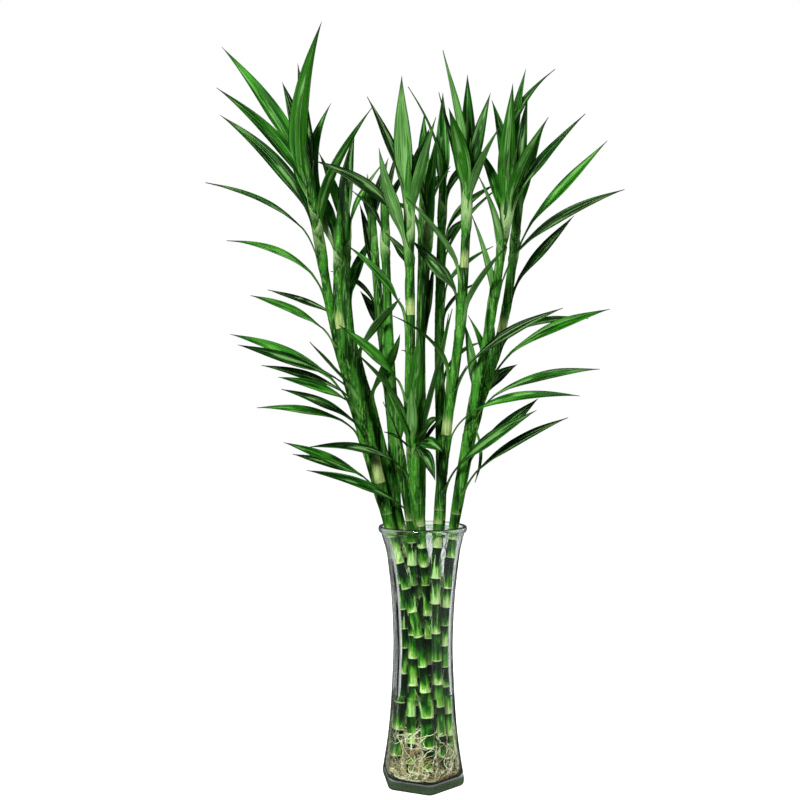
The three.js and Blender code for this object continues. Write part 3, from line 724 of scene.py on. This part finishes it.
stemLook = {
    "caneFoot": 0.01035,
    "footRadius": 0.0053,
    "sheathRadius": 0.0063,
    "topRadius": 0.005,
    "sheathFrom": 0.265,
    "sheathTo": 0.35,
    "fullHeight": 0.7,
    "firstNode": 0.010,
    "internodeLow": 0.029,
    "internodeHigh": 0.078,
    "internodeChange": 0.33,
    "internodeVary": 0.28,
    "clearOfLeafNode": 0.014,
    # how far above or below its ring, and the share of the radius there
    "ring": ((0, 1.075), (0.0007, 1.08), (0.0014, 1.05), (0.003, 1.02)),
    "belowRing": ((0.0022, 0.975), (0.0006, 0.985)),
    "ringsFlatterFrom": 0.28,
    "spear": 0.046,
    "spearShape": ((0.0, 0.95), (0.15, 0.9), (0.4, 0.72), (0.7, 0.42), (0.9, 0.15), (1.0, 0.03)),
    "bandLine": ((0, 0), (0.0003, -1), (0.0009, -1), (0.0012, 1)),
    "sides": 20,
    "sheathLength": 0.03,
    "sheathRows": 8,
    "sheathStep": 0.0004,
    "sheathLayers": 2,
    "neckLength": 0.075,
    "shredFrom": 0.055,
    "shredTo": 0.265,
    "shredShare": 0.6,
    "shredTries": 8,
    "shredMost": 2,
    "shredLength": (0.014, 0.034),
    "shredPeel": (0.001, 0.008),
    "shredAside": (-0.004, 0.004),
    "shredWidth": 0.0036,
    "shredThickness": 0.0003,
    "shredPoints": 9,
    "shredOffGlass": 0.0016,
    "shredOffCane": 0.0006,
    "bladePoints": 30,
    "bladeAround": 28,
    "bladeBaseShare": 0.32,
    "bladeWidestUpright": 0.44,
    "bladeWidestSpread": 0.6,
    "bladeBendShift": 0.1,
    "bladeFold": 0.32,
    "bladeThickness": 0.0011,
    "bladeTip": 0.00016,
    "bladeWave": 0.06,
    "bladeCurl": 4.0,
    "bladeLean": (-8, 8),
    "bendEasings": 7,
    "ribDepth": 0.0004,
    "skinChange": (0.27, 0.34),
    "seed": 5,
}
lineKeys = ("spine", "sideWay", "faceWay", "halfWidth", "along", "pale", "tint",
            "thick", "curl", "fold", "wave", "isBlade")


def asLine(rows):
    # a line for guideMesh, from one row of values for each of its points
    return dict(zip(lineKeys, zip(*rows)))


def stemPoint(route, z):
    # the middle of a stem at this height, and straight on above its top
    def slope(i, axis):
        before, after = route[max(i - 1, 0)], route[min(i + 1, len(route) - 1)]
        return (after[axis] - before[axis]) / (after[0] - before[0])

    i, t = segment(route, z)
    run = route[i + 1][0] - route[i][0]
    place = []
    for axis in (1, 2):
        here, after = route[i][axis], route[i + 1][axis]
        slopeAfter = slope(i + 1, axis) * run
        if t > 1:
            place.append(after + slopeAfter * (t - 1))
        else:
            place.append(curveThrough(here, after, slope(i, axis) * run, slopeAfter, t))
    return np.array([*place, z])


def stemWay(route, z):
    return unit(stemPoint(route, z + 0.002) - stemPoint(route, z - 0.002))


def stemRadius(z):
    low, high, top = stemLook["footRadius"], stemLook["sheathRadius"], stemLook["topRadius"]
    wrapped = smoothStep(z, stemLook["sheathFrom"], stemLook["sheathTo"])
    slimmed = min(max((z - stemLook["sheathTo"]) / (stemLook["fullHeight"] - stemLook["sheathTo"]), 0), 1)
    return low + (high - low) * wrapped - (high - top) * slimmed


def nodeHeights(stem, order):
    draw = random.Random(stemLook["seed"] * 1000 + order)
    vary = stemLook["internodeVary"]
    heights = []
    z = stemLook["firstNode"] + stemLook["internodeLow"] * (0.45 + 0.5 * ((order * 0.618) % 1))
    while z < stem["route"][-1][0] - 0.02:
        heights.append(z)
        step = stemLook["internodeLow"] if z < stemLook["internodeChange"] else stemLook["internodeHigh"]
        z += step * draw.uniform(1 - vary, 1 + vary)
    # a leaf grows from a node of its own
    for leaf in stem["leaves"]:
        own = leaf[0] - stemLook["sheathLength"]
        heights = [z for z in heights if abs(z - own) > stemLook["clearOfLeafNode"]] + [own]
    return sorted(heights)


def caneLine(stem, order, tint):
    route = stem["route"]
    start, top = stemLook["caneFoot"], route[-1][0]
    nodes = nodeHeights(stem, order)
    tones = random.Random(stemLook["seed"] * 10 + order)
    # height, share of the radius, climb from ring to ring, tone
    rows = []
    for low, high in zip([start - 0.015] + nodes, nodes + [top + 0.02]):
        run = high - low
        swell = 1.0 if low < stemLook["ringsFlatterFrom"] else 0.3
        tone = tint * 0.4 + tones.random() * 0.6
        rows += [(low + step, 1 + (size - 1) * swell, step / run, tone) for step, size in stemLook["ring"]]
        for share in (0.25, 0.45, 0.65, 0.85):
            rows.append((low + run * share, 1.01 - 0.03 * share, share, tone))
        rows += [(high - step, size, 1 - step / run, tone) for step, size in stemLook["belowRing"]]
    rows = sorted(row for row in rows if start < row[0] < top)
    rows = [(start, rows[0][1] * 0.8, *rows[0][2:]), (start + 0.0006, *rows[0][1:])] + rows
    rows += [(top + stemLook["spear"] * share, size, 2, tint) for share, size in stemLook["spearShape"]]
    # a pale band starts with a brown line, below zero here, and fades upwards
    steps = []
    for middle, half in stem["paleBands"]:
        steps += [(middle - half + step, pale) for step, pale in stemLook["bandLine"]]
        steps += [(middle, 0.9), (middle + half * 0.5, 0.5), (middle + half * 1.2, 0)]
    steps.sort()
    heights, *others = zip(*rows)
    rows += [(z, *(np.interp(z, heights, values) for values in others)) for z, pale in steps]
    points = []
    for z, size, climb, tone in sorted(rows):
        way = stemWay(route, z)
        side = squareTo(way, (1, 0, 0))
        pale = np.interp(z, *zip(*steps)) if steps else 0
        half = stemRadius(z) * size
        points.append((stemPoint(route, z), side, np.cross(way, side), half, climb, pale, tone, *[0] * 5))
    return asLine(points)


def bladeShare(t, widest):
    # a narrow channelled base, then the widest place, then a drawn-out tip
    if t < widest:
        base = stemLook["bladeBaseShare"]
        return base + (1 - base) * smoothStep(t / widest, 0.1, 1) ** 1.2
    u = (t - widest) / (1 - widest)
    return (1 - u**2.2) * (1 - 0.35 * u**2)


def bladeLine(stem, leaf, layers, draw):
    route = stem["route"]
    height, x, y, z, width, arch, bend, roll = leaf
    bare = stemRadius(height)
    extra = bare * 0.03 + 0.0003 + stemLook["sheathStep"] * layers
    root = stemPoint(route, height)
    tip = np.array([x, y, z])
    chord = tip - root
    length = np.linalg.norm(chord)
    straight = chord / length
    up = squareTo(straight, (0, 0, 1))
    outward = squareTo(stemWay(route, height), chord)
    middle = (root + tip) / 2 + up * arch * length + np.array([bend, 0, 0])
    control = 2 * middle - (root + tip) / 2 - chord * stemLook["bladeBendShift"]
    widest = stemLook["bladeWidestSpread"]
    widest += (stemLook["bladeWidestUpright"] - widest) * smoothStep(straight[2], 0.5, 0.9)
    facing = -1 if chord[0] < 0 else 1

    # t runs from -1 to 0 up the sheath and to 1 at the tip, and u from 0 to 1 up the sheath
    points = []
    rows = []
    sheathRows = stemLook["sheathRows"]
    for k in range(sheathRows):
        u = k / sheathRows
        low = height - stemLook["sheathLength"] * (1 - u)
        sleeve = stemRadius(low) * (0.95 + 0.06 * smoothStep(u, 0, 0.3)) + extra * smoothStep(u, 0, 0.6)
        points.append(stemPoint(route, low) + outward * sleeve)
        rows.append((-(1 - u), u, sleeve))
    for k in range(stemLook["bladePoints"] + 1):
        t = k / stemLook["bladePoints"]
        point = (1 - t) ** 2 * root + 2 * t * (1 - t) * control + t * t * tip
        points.append(point + outward * sleeve * (1 - smoothStep(t, 0, 0.22)))
        rows.append((t, 1, bare + extra))
    points = np.array(points)
    for easing in range(stemLook["bendEasings"]):
        # eases the bend where the blade leaves its sheath
        for i in range(sheathRows - 4, sheathRows + 7):
            points[i] = points[i - 1] * 0.25 + points[i] * 0.5 + points[i + 1] * 0.25

    phase = draw.uniform(0, 6.28)
    waves = draw.uniform(1.2, 2.4)
    lean = draw.uniform(*stemLook["bladeLean"])
    tint = draw.random()
    wrapped = math.pi * (bare + extra) * 0.93
    baseWidth = width / 2 * bladeShare(0, widest)
    neckLength = stemLook["neckLength"]
    neck = smoothStep(height, route[-1][0] - neckLength, route[-1][0] - neckLength / 2)
    out = []
    for i, (t, u, sleeve) in enumerate(rows):
        way = wayAt(points, i)
        blade = smoothStep(t, 0, 0.16)
        face = squareTo(way, -outward * (1 - blade) + up * blade)
        angle = math.radians(facing * roll * smoothStep(t, 0.05, 0.6) + lean * smoothStep(t, 0.1, 0.8))
        face = face * math.cos(angle) + np.cross(way, face) * math.sin(angle)
        if t < 0:
            half = wrapped + (baseWidth * 1.25 - wrapped) * smoothStep(u, 0.25, 1.0)
        else:
            flare = 1 + 0.25 * (1 - smoothStep(t, 0, 0.12))
            half = max(width / 2 * bladeShare(t, widest) * flare, stemLook["bladeTip"])
        pale = neck * smoothStep(t, -0.85, -0.1) * (1 - smoothStep(t, 0, 0.22))
        thick = stemLook["bladeThickness"] * (1 - 0.5 * max(t, 0)) * (0.55 if t < 0 else 1)
        curl = (1 - smoothStep(t, -0.1, 0.2)) / sleeve + stemLook["bladeCurl"]
        fold = stemLook["bladeFold"] * smoothStep(t, -0.1, 0.16)
        wave = stemLook["bladeWave"] * math.sin(phase + waves * 6.28 * t) * smoothStep(t, 0.1, 0.4)
        out.append((points[i], np.cross(face, way), face, half, t, pale, tint, thick, curl, fold, wave, 1))
    return asLine(out)


def shredLine(stem, z, draw):
    # a dry pale strip of an old sheath that peels off above its ring, or nothing where it has no room
    heading = draw.uniform(0, math.pi * 2)
    outward = np.array([math.cos(heading), math.sin(heading), 0])
    aside = np.array([-outward[1], outward[0], 0]) * draw.uniform(*stemLook["shredAside"])
    length = draw.uniform(*stemLook["shredLength"])
    peel = draw.uniform(*stemLook["shredPeel"])
    width = stemLook["shredWidth"] * draw.uniform(0.35, 1)
    shares = np.linspace(0, 1, stemLook["shredPoints"])
    points = np.array([stemPoint(stem["route"], z + length * t) + aside * t**2
                       + outward * (stemRadius(z) * 1.03 + 0.0004 + peel * t**2) for t in shares])
    for point in points:
        if math.hypot(point[0], point[1]) > insideHalf(point[2]) - stemLook["shredOffGlass"]:
            return None
        for other in stems:
            gap = np.linalg.norm(point - stemPoint(other["route"], point[2]))
            if other is not stem and gap < stemRadius(point[2]) * 1.1 + stemLook["shredOffCane"]:
                return None
    tint = draw.random()
    out = []
    for i, t in enumerate(shares):
        way = wayAt(points, i)
        face = squareTo(way, outward)
        out.append((points[i], np.cross(face, way), face, width / 2 * (1.06 - t), 0.2 + 0.4 * t, 1.6, tint,
                    stemLook["shredThickness"], stemLook["bladeCurl"], 0, 0, 1))
    return asLine(out)


def stemLines(stem, order, draw):
    lines = [caneLine(stem, order, draw.random())]
    for leaf in stem["leaves"]:
        # a sheath lies over those of the younger leaves above it
        younger = [other for other in stem["leaves"] if 0 < other[0] - leaf[0] < stemLook["sheathLength"]]
        lines.append(bladeLine(stem, leaf, min(len(younger), stemLook["sheathLayers"]), draw))
    for z in nodeHeights(stem, order):
        if stemLook["shredFrom"] < z < stemLook["shredTo"] and draw.random() < stemLook["shredShare"]:
            tries = [shredLine(stem, z, draw) for k in range(stemLook["shredTries"])]
            lines += [shred for shred in tries if shred][:stemLook["shredMost"]]
    return lines


def besideSpine(geometry, aside, forward):
    # moves each point to its spine, and from there sideways and towards its face
    return placed(geometry, named(geometry, "spine", "FLOAT_VECTOR")
                  + named(geometry, "sideWay", "FLOAT_VECTOR") * aside
                  + named(geometry, "faceWay", "FLOAT_VECTOR") * forward)


def skinned(geometry, across, finish):
    # keeps where each point lies on its skin, for the material to read
    skinAt = geometry.vector(across, named(geometry, "along"), named(geometry, "tint"))
    return finished(kept(geometry, "skinAt", skinAt, "FLOAT_VECTOR"), finish)


def leafyStemTree():
    tree, size = newTree("leafyStem", {
        "Cane Sides": 20, "Blade Around": 28, "Rib Depth": 0.0004,
        "Cane Finish": None, "Leaf Finish": None})
    guides = size["Guides"]
    blades = guides.node("GeometryNodeSeparateGeometry", {"domain": "POINT"}, {
        "Geometry": guides, "Selection": named(guides, "isBlade").does("GREATER_THAN", 0.5)})
    canes = Wire(tree, blades.socket.node.outputs["Inverted"])

    cane = swept(canes, ringOf(canes, size["Cane Sides"]), True)
    angle = named(cane, "turn") * (math.pi * 2)
    radius = named(cane, "halfWidth")
    cane = besideSpine(cane, radius * angle.does("COSINE"), radius * angle.does("SINE"))
    cane = skinned(cane, named(cane, "turn"), size["Cane Finish"])

    blade = swept(blades, ringOf(blades, size["Blade Around"]), True)
    turn = named(blade, "turn")
    across = (turn * 2 - 1).does("ABSOLUTE") * 2 - 1
    top = turn.does("LESS_THAN", 0.4999)
    layer = top * 2 - 1
    edge = (1 - across * across).does("MAXIMUM", 0.0) ** 0.5
    half = named(blade, "halfWidth")
    curl = named(blade, "curl")
    bend = (across * half * curl).does("ABSOLUTE").does("MAXIMUM", 0.0001)
    curved = (1 - bend.does("COSINE")) / curl
    fold = ((across * across + 0.012) ** 0.5 - 0.11) * half * named(blade, "fold")
    ripple = across * across * half * named(blade, "wave") * (across.does("SIGN") * 0.6 + 0.4)
    keel = across.peak(90) * (1 - top) * size["Rib Depth"] * named(blade, "fold") * 3
    over = curved + fold + ripple + layer * edge * named(blade, "thick") * 0.5 - keel
    blade = besideSpine(blade, across * half * (bend.does("SINE") / bend), over)
    blade = kept(skinned(blade, across, size["Leaf Finish"]), "under", 1 - top)

    both = tree.nodes.new("GeometryNodeJoinGeometry")
    tree.links.new(cane.socket, both.inputs[0])
    tree.links.new(blade.socket, both.inputs[0])
    endTree(tree, Wire(tree, both.outputs[0]))
    return tree


def stalkColour(at):
    # the streaky green that canes above the vase share with the sheaths round them, with pale specks of
    # painted sheen
    broad = (at * (110.0, 110.0, 9.0)).noise(2.0)
    fine = (at * (700.0, 700.0, 30.0)).noise(1.0)
    # painted highlight: pale whitish specks of sheen
    sheenSpecks = (at * (1100.0, 1100.0, 240.0)).noise(1.0)
    return broad.between(0.38, 0.66).colours(paint(7, 50, 4), paint(50, 134, 22)).painted(
        (fine.between(0.5, 0.7) * 0.55, 126, 194, 84),
        (sheenSpecks.between(0.5, 0.75) * broad.between(0.4, 0.6) * 0.2, 180, 224, 156))


def caneMaterial():
    material, skin = newMaterial("caneSkin")
    climb, tint = skin.attribute("skinAt", "Vector").parts()[1:]
    pale = skin.attribute("pale")
    at = skin.place()
    above = at.parts()[2].between(*stemLook["skinChange"])
    patches = (at * (80.0, 80.0, 34.0)).noise(4.0)
    streaks = (at * (620.0, 620.0, 16.0)).noise(2.0)
    rise = climb + (patches.between(0.36, 0.64) - 0.5) * 0.6 + (streaks.between(0.36, 0.64) - 0.5) * 0.3
    low = (rise + (tint - 0.5) * 0.6).ramp(
        (0.0, paint(184, 206, 140)), (0.12, paint(128, 172, 74)), (0.4, paint(68, 134, 26)),
        (0.58, paint(18, 78, 6)), (0.85, paint(1, 24, 1)))
    scar = (1 - climb.between(0.0, 0.05)) + climb.between(0.965, 0.99) * 0.6
    band = pale.between(0.0, 1.0) * (0.9 - streaks.between(0.4, 0.65) * 0.5)
    rim = (1 - climb.between(0.02, 0.05)) * (1 - above)
    ring = climb.between(0.968, 0.98) * (1 - above)
    colour = above.colours(low, stalkColour(at)).painted(
        (scar * above * 0.5, 40, 78, 26), (band, 196, 220, 138),
        ((pale * -1).between(0.1, 0.8) * 0.7, 78, 76, 30),
        (rim * 0.8, 214, 218, 166), (ring * 0.8, 70, 62, 26))
    bump = (streaks * 0.5 + patches * 0.5).bumps(0.3, 0.0006)
    return endMaterial(material, skin.surface({
        "Base Color": colour, "Roughness": 0.26 + patches * 0.16 + above * 0.2, "Normal": bump,
        "Specular IOR Level": 0.12}))


def leafMaterial():
    material, leaf = newMaterial("leafGreen")
    across, along, tint = leaf.attribute("skinAt", "Vector").parts()
    under = leaf.attribute("under")
    streaks = leaf.vector(across * 26.0, along * 3.0, tint * 90.0).noise(3.0)
    cloud = leaf.vector(across * 1.5, along * 4.0, tint * 40.0).noise(3.0)
    # painted highlight: thin pale glints along each blade
    glints = leaf.vector(across * 7.0, along * 1.6, tint * 60.0).noise(2.0)
    veins = (across * 70.0 + (streaks - 0.5) * 2.0).does("SINE")
    light = tint * 0.65 + cloud.between(0.3, 0.7) * 0.4 + (streaks - 0.5) * 1.2 + veins * 0.1 - 0.07
    colour = light.ramp((0.0, paint(1, 11, 1)), (0.36, paint(3, 35, 2)), (0.68, paint(16, 94, 4)),
                        (0.96, paint(70, 172, 22)))
    fresh = streaks.between(0.35, 0.65).colours(paint(10, 72, 4), paint(62, 146, 26))
    frosty = streaks.between(0.35, 0.65).colours(paint(24, 96, 16), paint(136, 196, 108))
    back = tint.between(0.45, 0.75).colours(fresh, frosty)
    # painted highlight: a pale sheen along one side of each leaf, placed by its tint
    sheen = (across + 0.45 - tint * 0.9).peak(14) * cloud.between(0.42, 0.62) * (0.3 + streaks)
    middle = across.peak(260) * (1 - along.between(0.1, 0.8))
    # painted shade: a dark line along each leaf's edges
    square = across * across
    edgeShade = (square * square).between(0.55, 0.98)
    neck = (1 - along.between(-0.12, 0.16)) * streaks.between(0.36, 0.66)
    colour = (under * 0.8).colours(colour, back).painted(
        (sheen.between(0.06, 0.8) * 0.6, 154, 208, 126), (glints.between(0.57, 0.65) * 0.5, 152, 210, 124),
        (middle * 0.3, 110, 168, 72), (edgeShade * 0.7, 2, 22, 2), (neck * 0.6, 150, 190, 104))
    pale = leaf.attribute("pale") * (0.3 + streaks.between(0.35, 0.6) * 0.6)
    colour = (1 - along.between(-0.3, 0.05)).colours(colour, stalkColour(leaf.place())).painted(
        (pale, 186, 222, 150), (along.between(0.86, 1.0) * 0.85, 12, 22, 8))
    bump = (veins * 0.25 + streaks * 0.6 - middle * 0.8).bumps(0.4, 0.0004)
    return endMaterial(material, leaf.surface({
        "Base Color": colour, "Roughness": 0.44 + streaks * 0.2 + under * 0.12, "Normal": bump,
        "Specular IOR Level": 0.1}))


print("building: stems and leaves")
growing = leafyStemTree()
caneSkin = caneMaterial()
leafGreen = leafMaterial()
for order, stem in enumerate(stems):
    draw = random.Random(stemLook["seed"] * 100 + order)
    name = f"stem_{order + 1:02d}"
    guides = guideMesh(name + "Guides", stemLines(stem, order, draw))
    piece = growMesh(f"leafyStem_{order + 1:02d}", guides, growing, {
        "Cane Sides": stemLook["sides"], "Blade Around": stemLook["bladeAround"],
        "Rib Depth": stemLook["ribDepth"], "Cane Finish": caneSkin, "Leaf Finish": leafGreen})
    tidied(piece, finestGap)
    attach(piece, "root")
    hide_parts(name)

# Water: it wets the glass and rises a little against the wall and round each stem.

wet = water["wetting"]
waterRows = [(vase["floor"] - wet, floorWidth * share, 1) for share in (0, 0.33, 0.66)]
waterRows += [(z - wet, width + wet, share) for z, width, share in cornerRows[::-1]]
waterRows += [(z, insideHalf(z) + wet, 1) for z in np.linspace(foot, water["top"], water["ringsOnWall"])]
brim = waterRows[-1][1]
waterRows.append((water["top"] + water["meniscus"], brim - 0.00002, 1))
for k in range(water["ringsOnTop"]):
    inward = brim * (k + 0.6) / (water["ringsOnTop"] + 0.6)
    rise = water["meniscus"] * math.exp(-inward / water["creep"])
    waterRows.append((water["top"] + rise, brim - inward, 1))
waterRows.append((water["top"], 0, 1))
waterBody = turnedPiece("waterBody", waterRows, waterMaterial())
stemsAtTop = [stemPoint(stem["route"], water["top"]) for stem in stems]
for vertex in waterBody.data.vertices:
    if vertex.co.z > water["top"] - 0.0001:
        for centre in stemsAtTop:
            away = math.hypot(vertex.co.x - centre[0], vertex.co.y - centre[1]) - stemRadius(water["top"])
            vertex.co.z += water["meniscus"] * 0.6 * math.exp(-max(away, 0) / water["creep"])
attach(waterBody, "root")
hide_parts("water")


print("building: roots")

rootLook = {
    "perStem": 33,
    "radius": 0.00049,
    "sides": 5,
    "steps": 30,
    "stride": 0.003,
    "lowestStart": 0.013,
    "highest": 0.07,
    "wander": (0.42, 0.42, 0.32),
    "offFloor": 0.0012,
    "offGlass": 0.0013,
    "offCorner": 0.0022,
    "offCane": 1.08,  # as a share of the cane's radius
    "seed": 7,
}


def rootPath(stem, draw):
    # a walk from the stem that turns back at the glass, at the canes and at its highest
    start = rootLook["lowestStart"] + (rootLook["highest"] - 0.016) * draw.random() ** 1.5
    heading = draw.uniform(0, math.pi * 2)
    outward = np.array([math.cos(heading), math.sin(heading), 0])
    place = stemPoint(stem["route"], start) + outward * stemRadius(start)
    way = np.array([*outward[:2], draw.uniform(-1.1, -0.2)])
    lean = draw.uniform(-0.1, 0.12)
    points = [place - way * 0.0015]
    for step in range(rootLook["steps"]):
        turn = np.array([draw.gauss(0, spread) for spread in rootLook["wander"]])
        turn[2] += lean - 0.1
        way = unit(way + turn)
        place = place + way * rootLook["stride"]
        low = vase["floor"] + rootLook["offFloor"]
        if place[2] < low:
            place[2] = low
            way[2] = abs(way[2]) * 0.7
        if place[2] > rootLook["highest"]:
            way[2] = -abs(way[2])
        limit = insideHalf(place[2]) - rootLook["offGlass"]
        if place[2] < foot:
            limit -= rootLook["offCorner"]
        out = math.hypot(place[0], place[1])
        if out > limit:
            place[:2] *= limit / out
            way[:2] -= place[:2] / limit * way[:2].dot(place[:2] / limit) * 1.2
        for other in stems:
            centre = stemPoint(other["route"], place[2])
            apart = place[:2] - centre[:2]
            gap = np.linalg.norm(apart)
            clear = stemRadius(place[2]) * rootLook["offCane"] + rootLook["radius"]
            if gap < clear:
                place[:2] = centre[:2] + apart / max(gap, finestGap) * clear
        points.append(place.copy())
    points = np.array(points)
    points[1:-1] = points[:-2] * 0.25 + points[1:-1] * 0.5 + points[2:] * 0.25
    return points


def rootTree():
    tree, size = newTree("rootTangle", {"Root Sides": 5, "Root Radius": 0.0008, "Finish": None})
    guides = size["Guides"]
    ring = guides.node("GeometryNodeCurvePrimitiveCircle", {}, {
        "Resolution": size["Root Sides"], "Radius": size["Root Radius"]})
    endTree(tree, swept(guides, ring, True, named(guides, "girth")), size["Finish"])
    return tree


def rootMaterial():
    material, skin = newMaterial("rootFibre")
    tint = skin.attribute("rootAt", "Vector").parts()[2]
    at = skin.place()
    spots = (at * 46.0).noise(3.0)
    fine = (at * 420.0).noise(2.0)
    colour = (tint + (fine - 0.5) * 0.4).ramp(
        (0.0, paint(84, 60, 34)), (0.25, paint(160, 132, 88)), (0.5, paint(236, 222, 182)),
        (1.0, paint(252, 248, 230)))
    colour = (spots.between(0.56, 0.7) * 0.7).colours(colour, paint(140, 76, 40))
    return endMaterial(material, skin.surface({
        "Base Color": colour, "Roughness": 0.6, "Normal": fine.bumps(0.4, 0.0003)}))


rootLines = []
for order, stem in enumerate(stems):
    draw = random.Random(rootLook["seed"] * 100 + order)
    for number in range(rootLook["perStem"]):
        points = rootPath(stem, draw)
        count = len(points)
        along = np.linspace(0, 1, count)
        thick = draw.uniform(0.6, 1.25)
        rootLines.append({
            "spine": points,
            "girth": thick * (1.15 - 0.75 * along ** 1.5),
            "rootAt": np.stack([np.full(count, draw.random()), along, np.full(count, draw.random())], 1)})
rootTangle = growMesh("rootTangle", guideMesh("rootGuides", rootLines), rootTree(), {
    "Root Sides": rootLook["sides"], "Root Radius": rootLook["radius"], "Finish": rootMaterial()})
tidied(rootTangle, finestGap)
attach(rootTangle, "root")
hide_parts("roots")

print("finishing")
